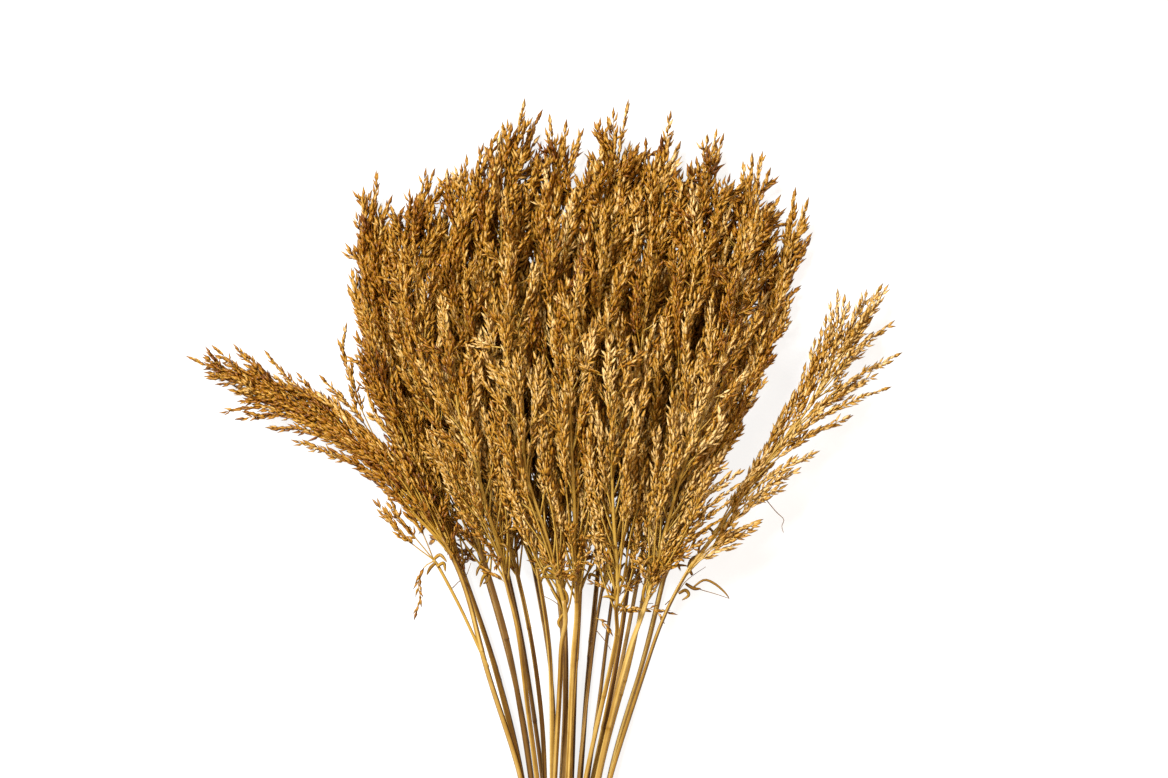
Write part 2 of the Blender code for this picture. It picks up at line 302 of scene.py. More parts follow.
# What differs between a full plume and one whose branches flare towards its tip: its width
# along its axis, as shares of its full width, how much lighter its rachis is than its husks,
# how much more of its tip ears is bare, and where the husks on its axis begin
Habit = namedtuple("Habit", "places widths rachis_rise bare axis_ear_from")
HABITS = {
    False: Habit((0.0, 0.1, 0.4, 0.86, 0.94, 1.0), (0.6, 0.85, 1.0, 1.0, 0.5, 0.2), 0.35, 0.0, 0.74),
    True: Habit((0.0, 0.3, 0.6, 0.85, 1.0), (0.3, 0.35, 0.55, 1.0, 0.7), 0.1, 0.34, 0.6),
}

# Whorls of branches along a plume, in shares of its axis: where the highest one stands, how
# deep each is, where branches end at most, and how long they are. END_BIAS is a power, and
# LENGTH_SHARES multiplies the length.
WHORLS = 14
HIGHEST_WHORL = 0.88
WHORL_DEPTH = 0.03
HIGHEST_END = 0.96
END_SPREAD = 0.18
END_BIAS = 0.7
LOWEST_LENGTH = 0.36
SHORTENING = 0.2
LENGTH_SHARES = (0.75, 1.2)
LEAST_LENGTH = 0.05

# Branches of a plume
BRANCH_RADIUS = 0.68 * MM
BRANCH_TIP_RADIUS = 0.26 * MM
LOWEST_THICKNESS = 1.25
THINNING = 0.5
BRANCH_SIDES = 3
BRANCH_RINGS = 9
BRANCH_REACH = (0.45, 1.0)
BRANCH_ANGLE_SPREAD = 0.3
BRANCH_CURVE = 1.8
BRANCH_TWIST = 0.5
CLEAR_RISE = 0.35
FLATNESS = 0.6
FLOOR_CLEARANCE = 0.8 * MM
# The bare foot of the lowest branches, how fast it ends towards the tip, and how far it moves
# the ear along
BARE_FOOT = 0.3
BARE_FALL = 2.4
BARE_EAR_SHARE = 0.5
BRANCH_EAR_FROM = 0.38
BRANCH_TWIGS_FROM = 0.14
TWIGS_TO = 0.86

# Twigs of a branch, with lengths in millimetres and angles in degrees
TWIG_RADIUS = 0.34 * MM
TWIG_RINGS = 3
TWIG_SPACING = 4.4 * MM
TWIG_SHIFT = 0.6
TWIG_LENGTH = (5, 11)
LOWEST_TWIG = 1.15
TWIG_SHORTENING = 0.4
TWIG_OPENING = (9, 34)
TWIG_CLOSING = (2, 14)
TWIG_EAR_FROM = 0.2
TWIG_EAR_SIZE = 0.95

# How far a branch sways from its way, and the share of the branches, on the lower part of a
# plume, that lean out further and sway more
SWAY = 3.4 * MM
SWAY_WAVES = (1.0, 2.2)
WILD_SHARE = 0.16
WILD_TO = 0.6
WILD_REACH = (1.2, 1.55)
WILD_SWAY = 7.0 * MM

# Long forks that leave a plume's foot, thick and bare, and carry their ears high up
FORKS = 4
FORK_PLACES = (0.0, 0.12)
FORK_LENGTH = (0.42, 0.62)
FORK_REACH = (0.5, 0.9)
FORK_SHIFT = 0.3
FORK_RADIUS = 0.92 * MM
FORK_SWAY = 4.0 * MM
FORK_EAR_FROM = 0.55
FORK_TWIGS = (0.42, 0.9)

# Short ears that curl away from a plume's foot, with lengths in millimetres
FOOT_EARS = 6
FOOT_EAR_PLACES = (0.0, 0.2)
FOOT_EAR_LENGTH = (9, 21)
FOOT_EAR_OPENING = (0.4, 1.1)
FOOT_EAR_CURL = (-0.8, 1.4)
FOOT_EAR_DARKER = 0.1
FOOT_EAR_FROM = 0.3
FOOT_EAR_TWIGS = (0.35, 0.8)

# Ears that stand out at a plume's edge: how far below its tip each leaves the axis, as a share
# of the axis, and how much further for each length that it reaches out
TIP_EAR_DROP = 0.22
TIP_EAR_SLOPE = 1.4
TIP_EAR_LOWEST = 0.02
TIP_EAR_FROM = 0.2
TIP_TWIGS_FROM = 0.12

# Husks, with their tilt in degrees and their bend in millimetres
HUSK_LENGTH = 6.8 * MM
HUSK_HALF_WIDTH = 1.1 * MM
HUSK_DEPTH = 1.05 * MM
HUSK_SIDE_DROP = 0.25
HUSK_SIZES = (0.78, 1.16)
HUSK_TAPER = 0.15
END_HUSK_SIZE = 0.95
HUSK_TILT = (5, 38)
HUSK_BEND = (-1.2, 0.7)
HUSK_SPACING = 2.15 * MM
HUSK_SPACING_SHARES = (0.75, 1.25)
AXIS_HUSK_SPACING = 0.8 * HUSK_SPACING
# How dark a husk is painted at its joint, its two side edges, its keel and its point: the side
# edges carry painted shade, which leaves the keel pale as if lit, and the joint is partly its own
# dark joint and partly painted shade
JOINT_DARK_AND_PAINTED_SHADE = 0.6
SIDE_PAINTED_SHADE = 0.9
KEEL_EDGE = 0.0
POINT_EDGE = 0.5

# Turn from one husk or twig to the next beyond half a turn: its mean and its spread
HUSK_TURN = (0.2, 0.55)
TWIG_TURN = (0.3, 0.5)

# How much lighter an ear's tip is than its foot, whose darkness is painted shade among the
# ears around it, and a branch than its husks, and how much branches, ears and husks differ
EAR_PAINTED_SHADE_RISE = 0.3
BRANCH_TONE_RISE = 0.38
BRANCH_TONE_SPREAD = 0.16
EAR_TONE_SPREAD = 0.08
HUSK_TONE_SPREAD = 0.1

# Material slots of a plume's mesh
HUSK_SLOT = 0
TWIG_SLOT = 1

# Colours from dark to light, each with its place on the ramp
HUSK_COLOURS = (
    (0.0, (0.12, 0.034, 0.0005)),
    (0.3, (0.255, 0.099, 0.003)),
    (0.6, (0.40, 0.205, 0.021)),
    (1.0, (0.66, 0.46, 0.19)),
)
BRANCH_COLOURS = (
    (0.0, (0.12, 0.05, 0.003)),
    (0.35, (0.33, 0.18, 0.018)),
    (1.0, (0.56, 0.40, 0.10)),
)
GOLDEN_COLOURS = (
    (0.0, (0.075, 0.028, 0.001)),
    (0.5, (0.28, 0.152, 0.022)),
    (1.0, (0.53, 0.37, 0.11)),
)
BROWN_COLOURS = (
    (0.0, (0.04, 0.014, 0.001)),
    (0.5, (0.165, 0.080, 0.014)),
    (1.0, (0.38, 0.235, 0.07)),
)
# Darkening along a husk: at its joint, partly its own dark joint and partly painted shade where
# it meets its branch, and at its point, its own browner tip
HUSK_SHADES = (
    (0.0, (0.55, 0.55, 0.55)),
    (0.25, (1.0, 1.0, 1.0)),
    (0.7, (1.0, 1.0, 1.0)),
    (1.0, (0.7, 0.7, 0.7)),
)

# How strongly mottle, edges with their painted shade, tone and streaks with their painted
# side shade move a colour along its ramp
HUSK_MOTTLE = 0.5
HUSK_DARK_ENDS_AND_PAINTED_SHADE = 0.38
HUSK_OFFSET = 0.07
STEM_MOTTLE = 0.4
STEM_TONE = 0.6

# Floor and light
FLOOR_SIZE = 30.0
FLOOR_GREY = 0.25
FLOOR_GLOW = 0.85
WARM_WHITE = (1.0, 0.72, 0.46)
WORLD_STRENGTH = 0.42
KEY_PLACE = (-1.5, 1.3, 2.6)
KEY_SIZE = 1.2
KEY_POWER = 221.0
FILL_PLACE = (1.2, -0.2, 1.8)
FILL_SIZE = 1.5
FILL_POWER = 12.0


class MeshParts:
    """Collects the points, triangles and shading values of many small closed shapes."""

    def __init__(self):
        self.points = []
        self.faces = []
        self.slots = []
        self.values = {"tone": [], "along": [], "edge": []}
        self.count = 0

    def add(self, points, faces, slot, tone, along, edge):
        self.points.append(points)
        self.faces.append(faces + self.count)
        self.slots.append(np.full(len(faces), slot, dtype=np.int32))
        for title, value in (("tone", tone), ("along", along), ("edge", edge)):
            self.values[title].append(np.broadcast_to(value, len(points)))
        self.count += len(points)

    def mesh(self, name):
        points = np.concatenate(self.points).astype(np.float32)
        faces = np.concatenate(self.faces).astype(np.int32)
        data = bpy.data.meshes.new(name)
        data.vertices.add(len(points))
        data.vertices.foreach_set("co", points.ravel())
        data.loops.add(faces.size)
        data.loops.foreach_set("vertex_index", faces.ravel())
        data.polygons.add(len(faces))
        data.polygons.foreach_set("loop_start", np.arange(0, faces.size, 3, dtype=np.int32))
        data.polygons.foreach_set("material_index", np.concatenate(self.slots))
        for title, values in self.values.items():
            layer = data.attributes.new(title, "FLOAT", "POINT")
            layer.data.foreach_set("value", np.concatenate(values).astype(np.float32))
        data.update(calc_edges=True)
        return data


def unit(vectors):
    lengths = np.linalg.norm(vectors, axis=-1, keepdims=True)
    return vectors / np.maximum(lengths, 1e-12)


def smooth_points(points, places):
    """Points of a Catmull-Rom curve through points, at places 0 to len(points) - 1."""
    points = np.asarray(points, dtype=float)
    places = np.asarray(places, dtype=float)
    index = np.clip(places.astype(int), 0, len(points) - 2)
    share = (places - index)[:, None]
    before = points[np.maximum(index - 1, 0)]
    start = points[index]
    end = points[index + 1]
    after = points[np.minimum(index + 2, len(points) - 1)]
    square = share * share
    cube = square * share
    return (
        start * (2 * cube - 3 * square + 1)
        + (end - before) / 2 * (cube - 2 * square + share)
        + end * (3 * square - 2 * cube)
        + (after - start) / 2 * (cube - square)
    )


class Axis:
    """A centre line with its directions, read by the share of the way along it."""

    def __init__(self, points):
        self.points = points
        steps = np.linalg.norm(np.diff(points, axis=0), axis=1)
        self.distances = np.concatenate([[0.0], np.cumsum(steps)])
        self.length = self.distances[-1]
        self.shares = self.distances / self.length
        self.tangents = unit(np.gradient(points, axis=0))
        self.sideways = unit(np.cross(self.tangents, (0.0, 0.0, 1.0)))
        self.upward = np.cross(self.sideways, self.tangents)

    def read(self, table, shares):
        columns = [np.interp(shares, self.shares, table[:, axis]) for axis in range(3)]
        return np.stack(columns, axis=-1)

    def beside(self, shares, side, up):
        """Points at side and up from the line, along its own directions."""
        return (
            self.read(self.points, shares)
            + self.read(self.sideways, shares) * np.asarray(side)[..., None]
            + self.read(self.upward, shares) * np.asarray(up)[..., None]
        )


def any_normal(direction, angle):
    """Unit vector square to direction, turned by angle round it."""
    helper = (0.0, 0.0, 1.0) if abs(direction[2]) < 0.9 else (1.0, 0.0, 0.0)
    first = unit(np.cross(direction, helper))
    return first * math.cos(angle) + np.cross(direction, first) * math.sin(angle)


def tube_faces(rings, sides):
    """Triangles of a tube with closed ends, its points numbered ring by ring."""
    ring = np.arange(rings - 1)[:, None] * sides
    side = np.arange(sides)[None, :]
    first = ring + side
    second = ring + (side + 1) % sides
    lower = np.stack([first, second, second + sides], axis=-1)
    upper = np.stack([first, second + sides, first + sides], axis=-1)
    middle = np.arange(1, sides - 1)
    cap = np.stack([np.zeros_like(middle), middle + 1, middle], axis=-1)
    end_cap = cap[:, ::-1] + (rings - 1) * sides
    return np.concatenate([lower.reshape(-1, 3), upper.reshape(-1, 3), cap, end_cap])


def add_tube(parts, points, radii, sides, slot, tone, shape=None, flat=1.0, streaks=None):
    """Closed tube along points. shape scales the radius of each point, flat squeezes it."""
    axis = Axis(points)
    count = len(points)
    angles = np.arange(sides) * (2 * math.pi / sides)
    reach = np.repeat(np.asarray(radii, dtype=float)[:, None], sides, axis=1)
    if shape is not None:
        reach = reach * shape
    out = (
        axis.sideways[:, None, :] * np.cos(angles)[None, :, None]
        + axis.upward[:, None, :] * (np.sin(angles) * flat)[None, :, None]
    )
    body = (points[:, None, :] + out * reach[:, :, None]).reshape(-1, 3)
    body[:, 2] = np.maximum(body[:, 2], FLOOR_CLEARANCE / 4)
    parts.add(
        body,
        tube_faces(count, sides),
        slot,
        tone,
        np.repeat(axis.shares, sides),
        0.0 if streaks is None else streaks.reshape(-1),
    )


def husk_template(rings):
    """Unit three-edged husk: points (along, across, outward), their edge values, triangles."""
    points = [(0.0, 0.0, 0.0)]
    edges = [JOINT_DARK_AND_PAINTED_SHADE]
    for share, width, depth in rings:
        side = -HUSK_SIDE_DROP * depth
        points += [(share, width, side), (share, 0.0, depth), (share, -width, side)]
        edges += [SIDE_PAINTED_SHADE, KEEL_EDGE, SIDE_PAINTED_SHADE]
    points.append((1.0, 0.0, 0.0))
    edges.append(POINT_EDGE)
    last = len(points) - 1
    faces = []
    for side in range(3):
        after = (side + 1) % 3
        faces.append((0, 1 + after, 1 + side))
        for ring in range(1, last - 3, 3):
            faces.append((ring + side, ring + after, ring + 3 + after))
            faces.append((ring + side, ring + 3 + after, ring + 3 + side))
        faces.append((last - 3 + side, last - 3 + after, last))
    return np.array(points), np.array(edges), np.array(faces)


class Husks:
    """Places of a plume's husks, meshed together at the end."""

    def __init__(self, size, rings):
        self.size = size
        self.rings = rings
        self.rows = []

    def add(self, base, direction, outward, size, tone, bend):
        self.rows.append((*base, *direction, *outward, size * self.size, tone, bend))

    def add_to(self, parts):
        """Meshes the husks. The lower ones, which others mostly cover, have the plain form."""
        rows = np.array(self.rows)
        low = rows[:, 2] < np.quantile(rows[:, 2], PLAIN_SHARE)
        self.add_form(parts, rows[low], PLAIN_HUSK)
        self.add_form(parts, rows[~low], self.rings)

    def add_form(self, parts, rows, rings):
        base = rows[:, 0:3]
        direction = unit(rows[:, 3:6])
        across = unit(np.cross(direction, rows[:, 6:9]))
        outward = np.cross(across, direction)
        size = rows[:, 9, None, None]
        bend = rows[:, 11, None]
        template, edges, triangles = husk_template(rings)
        share = template[None, :, 0]
        depth = template[None, :, 2] * HUSK_DEPTH + bend * share ** 2
        points = (
            base[:, None, :]
            + share[..., None] * direction[:, None, :] * HUSK_LENGTH * size
            + template[None, :, 1, None] * across[:, None, :] * HUSK_HALF_WIDTH * size
            + depth[..., None] * outward[:, None, :] * size
        )
        points[:, :, 2] = np.maximum(points[:, :, 2], FLOOR_CLEARANCE / 2)
        count = len(template)
        faces = triangles[None, :, :] + np.arange(len(rows))[:, None, None] * count
        parts.add(
            points.reshape(-1, 3),
            faces.reshape(-1, 3),
            HUSK_SLOT,
            np.repeat(rows[:, 10], count),
            np.tile(template[:, 0], len(rows)),
            np.tile(edges, len(rows)),
        )


def dress_ear(husks, line, start_share, size, tone, random, spacing=HUSK_SPACING):
    """Husks in two ranks along a branch from start_share on, and one at its end."""
    axis = Axis(line)
    turn = random.uniform(0, 2 * math.pi)
    distance = start_share * axis.length
    while distance < axis.length:
        share = distance / axis.length
        tangent = unit(axis.read(axis.tangents, share))
        turn += math.pi + random.normal(*HUSK_TURN)
        outward = any_normal(tangent, turn)
        tilt = math.radians(random.uniform(*HUSK_TILT))
        # Each husk's tone rises towards the ear's tip, a painted shade at the ear's foot
        husks.add(
            axis.read(axis.points, share),
            tangent * math.cos(tilt) + outward * math.sin(tilt),
            outward,
            size * random.uniform(*HUSK_SIZES) * (1.0 - HUSK_TAPER * share),
            tone + EAR_PAINTED_SHADE_RISE * (share - 0.5) + random.normal(0, HUSK_TONE_SPREAD),
            random.uniform(*HUSK_BEND) * MM,
        )
        distance += spacing * random.uniform(*HUSK_SPACING_SHARES)
    tangent = axis.tangents[-1]
    husks.add(line[-1], tangent, any_normal(tangent, turn), END_HUSK_SIZE * size, tone, 0.0)


def rise_and_close(rings, start, heading, radial, length, opening, closing):
    """Centre line that leaves at an angle of opening from heading and turns to closing."""
    angles = np.linspace(opening, closing, rings)
    ways = heading * np.cos(angles)[:, None] + radial * np.sin(angles)[:, None]
    moves = (ways[:-1] + ways[1:]) / 2 * (length / (rings - 1))
    points = np.concatenate([start[None, :], start + np.cumsum(moves, axis=0)])
    points[:, 2] = np.maximum(points[:, 2], FLOOR_CLEARANCE)
    return points


def add_twigs(parts, husks, branch, tone, random, first, last):
    """Short side twigs on a branch, each ending in a small ear."""
    axis = Axis(branch)
    count = max(1, int(axis.length * (last - first) / TWIG_SPACING))
    turn = random.uniform(0, 2 * math.pi)
    for index in range(count):
        share = first + (last - first) * (index + random.uniform(0, TWIG_SHIFT)) / count
        turn += math.pi + random.normal(*TWIG_TURN)
        heading = unit(axis.read(axis.tangents, share))
        length = random.uniform(*TWIG_LENGTH) * MM * (LOWEST_TWIG - TWIG_SHORTENING * share)
        line = rise_and_close(
            TWIG_RINGS,
            axis.read(axis.points, share),
            heading,
            any_normal(heading, turn),
            length,
            math.radians(random.uniform(*TWIG_OPENING)),
            math.radians(random.uniform(*TWIG_CLOSING)),
        )
        radii = np.linspace(TWIG_RADIUS, TWIG_RADIUS / 2, TWIG_RINGS)
        add_tube(parts, line, radii, BRANCH_SIDES, TWIG_SLOT, tone)
        dress_ear(husks, line, TWIG_EAR_FROM, TWIG_EAR_SIZE, tone, random)


def widest_reach(stalk, share):
    """How far a plume's branches may reach from its axis, share of the way along it."""
    habit = HABITS[stalk.flared]
    return stalk.half_width * MM * np.interp(share, habit.places, habit.widths)


def dress_branch(parts, husks, line, radius, ear_from, twigs, tone, random):
    """Tube of a branch with its ear and, unless twigs is None, twigs between its two shares."""
    radii = np.linspace(radius, BRANCH_TIP_RADIUS, len(line))
    add_tube(parts, line, radii, BRANCH_SIDES, TWIG_SLOT, tone + BRANCH_TONE_RISE)
    dress_ear(husks, line, ear_from, 1.0, tone, random)
    if twigs is not None:
        add_twigs(parts, husks, line, tone, random, *twigs)


def branch_line(axis, start, end, reach, angle, random, most_sway=SWAY):
    """Centre line from the axis at start that lies beside it at end, at reach from it."""
    along = np.linspace(0, 1, BRANCH_RINGS)
    spread = reach * (1 - (1 - along) ** BRANCH_CURVE)
    sway = random.uniform(-1, 1) * most_sway * np.sin(along * math.pi * random.uniform(*SWAY_WAVES))
    turn = angle + random.uniform(-BRANCH_TWIST, BRANCH_TWIST) * along
    shares = start + (end - start) * along
    line = axis.beside(
        shares,
        spread * np.cos(turn) + sway * along,
        spread * np.sin(turn) * FLATNESS,
    )
    line[:, 2] = np.maximum(line[:, 2], FLOOR_CLEARANCE)
    return line


def tip_line(axis, tip):
    """Centre line of an ear that bends out from the axis to a tip seen from above."""
    tip = np.array(tip) * MM
    gaps = np.linalg.norm(axis.points[:, :2] - tip, axis=1)
    nearest = np.argmin(gaps)
    start = axis.shares[nearest] - TIP_EAR_DROP - TIP_EAR_SLOPE * gaps[nearest] / axis.length
    start = max(start, TIP_EAR_LOWEST)
    root = axis.read(axis.points, start)
    end = np.array([*tip, axis.points[nearest, 2]])
    end -= unit(end - root) * HUSK_LENGTH
    bend = root + unit(axis.read(axis.tangents, start)) * (0.5 * np.linalg.norm(end - root))
    along = np.linspace(0, 1, BRANCH_RINGS)[:, None]
    return (1 - along) ** 2 * root + 2 * along * (1 - along) * bend + along ** 2 * end


def add_bracts(parts, axis, random):
    """Dry bracts at the foot of a plume: narrow strips that curl."""
    for _ in range(BRACTS):
        share = random.uniform(*BRACT_PLACES)
        heading = unit(axis.read(axis.tangents, share))
        opening = random.uniform(*BRACT_OPENING)
        line = rise_and_close(
            BRACT_RINGS,
            axis.read(axis.points, share),
            heading,
            any_normal(heading, random.uniform(0, 2 * math.pi)),
            random.uniform(*BRACT_LENGTH) * MM,
            opening,
            opening + random.choice((-1, 1)) * random.uniform(*BRACT_CURL),
        )
        width = random.uniform(*BRACT_WIDTH_SHARES) * BRACT_WIDTH
        add_strip(parts, line, width, random.uniform(*BRACT_TONES))


def add_foot_ears(parts, husks, axis, tone, random):
    """Short ears at the foot of a plume, which curl out and back."""
    for _ in range(FOOT_EARS):
        share = random.uniform(*FOOT_EAR_PLACES)
        heading = unit(axis.read(axis.tangents, share))
        opening = random.uniform(*FOOT_EAR_OPENING)
        line = rise_and_close(
            BRANCH_RINGS,
            axis.read(axis.points, share),
            heading,
            any_normal(heading, random.uniform(0, 2 * math.pi)),
            random.uniform(*FOOT_EAR_LENGTH) * MM,
            opening,
            opening + random.uniform(*FOOT_EAR_CURL),
        )
        ear_tone = tone - FOOT_EAR_DARKER + random.normal(0, EAR_TONE_SPREAD)
        dress_branch(
            parts, husks, line, TWIG_RADIUS, FOOT_EAR_FROM, FOOT_EAR_TWIGS, ear_tone, random,
        )


def add_strip(parts, line, width, tone):
    """Flat strip along line that tapers to both ends."""
    swell = np.sin(np.linspace(*STRIP_SPAN, len(line)) * math.pi) ** STRIP_FULLNESS
    add_tube(parts, line, width * swell, STRIP_SIDES, TWIG_SLOT, tone, flat=STRIP_FLATNESS)


def add_stray(parts, husks, stray, random):
    """A loose shoot, ray, ear, thread, leaf or bract, along its own points."""
    heights = np.linspace(stray.low, stray.high, len(stray.points))
    points = np.column_stack([np.array(stray.points), heights]) * MM
    line = smooth_points(points, np.linspace(0, len(points) - 1, STRAY_RINGS))
    if stray.kind == "shoot":
        radii = np.full(STRAY_RINGS, SHOOT_RADIUS)
        add_tube(parts, line, radii, SHOOT_SIDES, TWIG_SLOT, SHOOT_TONE)
    elif stray.kind == "ray":
        dress_branch(parts, husks, line, RAY_RADIUS, RAY_EAR_FROM, RAY_TWIGS, RAY_TONE, random)
    elif stray.kind == "ear":
        dress_branch(parts, husks, line, RAY_RADIUS, LOOSE_EAR_FROM, None, LOOSE_EAR_TONE, random)
    elif stray.kind == "thread":
        radii = np.linspace(THREAD_RADIUS, THREAD_RADIUS / 2, STRAY_RINGS)
        add_tube(parts, line, radii, THREAD_SIDES, TWIG_SLOT, THREAD_TONE)
    elif stray.kind == "leaf":
        add_strip(parts, line, LEAF_WIDTH, LEAF_TONE)
    else:
        add_strip(parts, line, BRACT_WIDTH, random.uniform(*LOOSE_BRACT_TONES))


def plume_axis(route, skirt, random):
    """Centre line of a plume, which wanders a little between its foot and its tip."""
    points = smooth_points(route, np.linspace(BASE - skirt, TIP - RACHIS_SHORT, RACHIS_RINGS))
    moves = random.normal(0, 1, (WANDER_STEPS, 3)) * (WANDER, WANDER, WANDER / 3)
    swell = np.sin(np.linspace(0, math.pi, RACHIS_RINGS))[:, None]
    places = np.linspace(0, WANDER_STEPS - 1, RACHIS_RINGS)
    return Axis(points + smooth_points(moves, places) * swell)


def add_rachis(parts, axis, tone):
    points = axis.points[RACHIS_FIRST_RING:]
    radii = np.linspace(RACHIS_RADIUS, RACHIS_TIP_RADIUS, len(points))
    add_tube(parts, points, radii, RACHIS_SIDES, TWIG_SLOT, tone)


def add_forks(parts, husks, stalk, axis, tone, random):
    """Long forks all round a plume's axis."""
    for index in range(FORKS):
        start = random.uniform(*FORK_PLACES)
        end = start + random.uniform(*FORK_LENGTH)
        reach = widest_reach(stalk, end) * random.uniform(*FORK_REACH)
        angle = (index + random.uniform(-FORK_SHIFT, FORK_SHIFT)) * 2 * math.pi / FORKS
        line = branch_line(axis, start, end, reach, angle, random, FORK_SWAY)
        dress_branch(parts, husks, line, FORK_RADIUS, FORK_EAR_FROM, FORK_TWIGS, tone, random)


def branch_span(rank, random):
    """Where a branch leaves a plume's axis and where it ends, by its rank from 0 to 1."""
    whorl = math.floor(rank * WHORLS) / WHORLS
    start = HIGHEST_WHORL * whorl + random.uniform(0, WHORL_DEPTH)
    ceiling = HIGHEST_END - END_SPREAD * random.uniform(0, 1) ** END_BIAS
    length = (LOWEST_LENGTH - SHORTENING * rank) * random.uniform(*LENGTH_SHARES)
    return start, max(min(start + length, ceiling), start + LEAST_LENGTH)


def add_branches(parts, husks, stalk, axis, tone, random):
    """Branches of a plume in whorls, bare at the foot where they are the longest."""
    layer = LAYERS[stalk.layer]
    for index in range(stalk.branches):
        start, end = branch_span(index / (stalk.branches - 1), random)
        reach = widest_reach(stalk, end) * random.uniform(*BRANCH_REACH)
        angle = index * GOLDEN_ANGLE + random.normal(0, BRANCH_ANGLE_SPREAD)
        if start < layer.open and math.sin(angle) > CLEAR_RISE:
            angle = -angle
        sway = SWAY
        if start < WILD_TO and random.uniform(0, 1) < WILD_SHARE and stalk.layer != "side":
            reach *= random.uniform(*WILD_REACH)
            sway = WILD_SWAY
        line = branch_line(axis, start, end, reach, angle, random, sway)
        bare = BARE_FOOT * max(0.0, 1 - BARE_FALL * start)
        branch_tone = tone + layer.fade * (0.5 - start) + random.normal(0, BRANCH_TONE_SPREAD)
        radius = BRANCH_RADIUS * (LOWEST_THICKNESS - THINNING * start)
        ear_from = BRANCH_EAR_FROM + BARE_EAR_SHARE * bare
        twigs = (BRANCH_TWIGS_FROM + bare, TWIGS_TO)
        dress_branch(parts, husks, line, radius, ear_from, twigs, branch_tone, random)


def add_tip_ears(parts, husks, tips, bare, axis, tone, random):
    """Ears that stand out at a plume's edge, each to its tip, with a share of them left bare."""
    ear_from = TIP_EAR_FROM + bare
    twigs = (TIP_TWIGS_FROM + bare, TWIGS_TO)
    for tip in tips:
        ear_tone = tone + random.normal(0, EAR_TONE_SPREAD)
        line = tip_line(axis, tip)
        dress_branch(parts, husks, line, BRANCH_RADIUS, ear_from, twigs, ear_tone, random)


def build_plume(stalk, route, number):
    """Mesh of one plume: its rachis, branches, twigs, bracts and husks."""
    random = np.random.default_rng(SEED + number)
    layer = LAYERS[stalk.layer]
    habit = HABITS[stalk.flared]
    parts = MeshParts()
    husks = Husks(layer.husk, layer.rings)
    axis = plume_axis(route, layer.skirt, random)
    tone = layer.tone + stalk.lighter + PALER_RIGHT * stalk.middle[0] * MM
    add_rachis(parts, axis, tone + habit.rachis_rise)
    add_branches(parts, husks, stalk, axis, tone, random)
    add_tip_ears(parts, husks, TIPS.get(number, ()), habit.bare, axis, tone, random)
    dress_ear(husks, axis.points, habit.axis_ear_from, 1.0, tone, random, AXIS_HUSK_SPACING)
    add_bracts(parts, axis, random)
    if not stalk.flared:
        add_forks(parts, husks, stalk, axis, tone, random)
        add_foot_ears(parts, husks, axis, tone, random)
    for stray in STRAYS:
        if stray.number == number:
            add_stray(parts, husks, stray, random)
    husks.add_to(parts)
    return parts


def smooth_noise(random, count, rows, columns):
    """Rows by columns of random values that change slowly over count steps down the rows."""
    values = random.normal(0, 1, (count, columns))
    places = np.linspace(0, count - 1, rows)
    return np.stack([np.interp(places, range(count), column) for column in values.T], axis=1)


def stem_places(random):
    """Places of a stem's rings on its route, closer together at its nodes, and the nodes'."""
    count = random.integers(0, MOST_NODES + 1)
    nodes = np.sort(random.uniform(GATHER + NODE_MARGIN, BASE - NODE_MARGIN, count))
    rings = [np.linspace(CUT, BASE, STEM_RINGS)]
    rings += [node + np.array(NODE_STEPS) for node in nodes]
    return np.sort(np.concatenate(rings)), nodes


def stem_radii(places, share, nodes, random):
    """Radius of a stem at each ring, and how near each ring is to a node, 1 being on it."""
    radii = STEM_RADIUS * random.uniform(*STEM_THICKNESS) * (1 + (STEM_TOP_SHARE - 1) * share)
    nearness = np.zeros(len(places))
    for node in nodes:
        beyond = places - node
        ring = np.exp(-(beyond / NODE_LENGTH) ** 2)
        sheath = np.where(beyond > 0, np.exp(-beyond / SHEATH_LENGTH), 0.0)
        radii = radii * (1 + NODE_SWELL * ring + SHEATH_SWELL * sheath)
        nearness += ring
    return radii, nearness


def stem_shades(angles, edges, nearness, random):
    """Shade of each point of a stem: streaks, painted shade on the side away from the key light,
    paler edges, darker nodes.
    """
    turn = random.uniform(-PAINTED_SIDE_SHADE_TURN, PAINTED_SIDE_SHADE_TURN)
    painted_side_shade = np.cos(angles + turn)[None, :]
    count = len(nearness)
    shades = MIDDLE_SHADE + LONG_SHADE * smooth_noise(random, LONG_SHADE_STEPS, count, 1)
    shades = shades + SIDE_SHADE * smooth_noise(random, SIDE_SHADE_STEPS, count, STEM_SIDES)
    # The side of every stem that faces +X, away from the key light, is painted darker as shade
    shades = shades - PAINTED_SIDE_SHADE * painted_side_shade + EDGE_SHADE * edges
    return shades - NODE_SHADE * nearness[:, None]


def build_stem(route, number):
    """Mesh of one stem: blunt three-edged, streaked and painted darker on one side as shade, with
    swollen nodes under short sheaths.
    """
    random = np.random.default_rng(SEED + STEM_SEED + number)
    parts = MeshParts()
    places, nodes = stem_places(random)
    points = smooth_points(route, places)
    share = places / BASE
    wave = np.sin(share * random.uniform(*WOBBLE_WAVES) + random.uniform(*WOBBLE_SHIFT))
    points[:, 0] += STEM_WOBBLE * (np.sin(share * math.pi) * wave)
    radii, nearness = stem_radii(places, share, nodes, random)
    angles = np.arange(STEM_SIDES) * (2 * math.pi / STEM_SIDES)
    first_turn = random.uniform(0, 2 * math.pi)
    turn = first_turn + random.uniform(-EDGE_TURN, EDGE_TURN) * share[:, None]
    edges = np.cos(STEM_EDGES * (angles[None, :] + turn))
    shape = 1 + EDGE_HEIGHT * edges + UNEVENNESS * random.normal(0, 1, STEM_SIDES)[None, :]
    shades = stem_shades(angles, edges, nearness, random)
    tone = random.uniform(*STEM_TONES)
    add_tube(parts, points, radii, STEM_SIDES, 0, tone, shape, streaks=shades)
    return parts


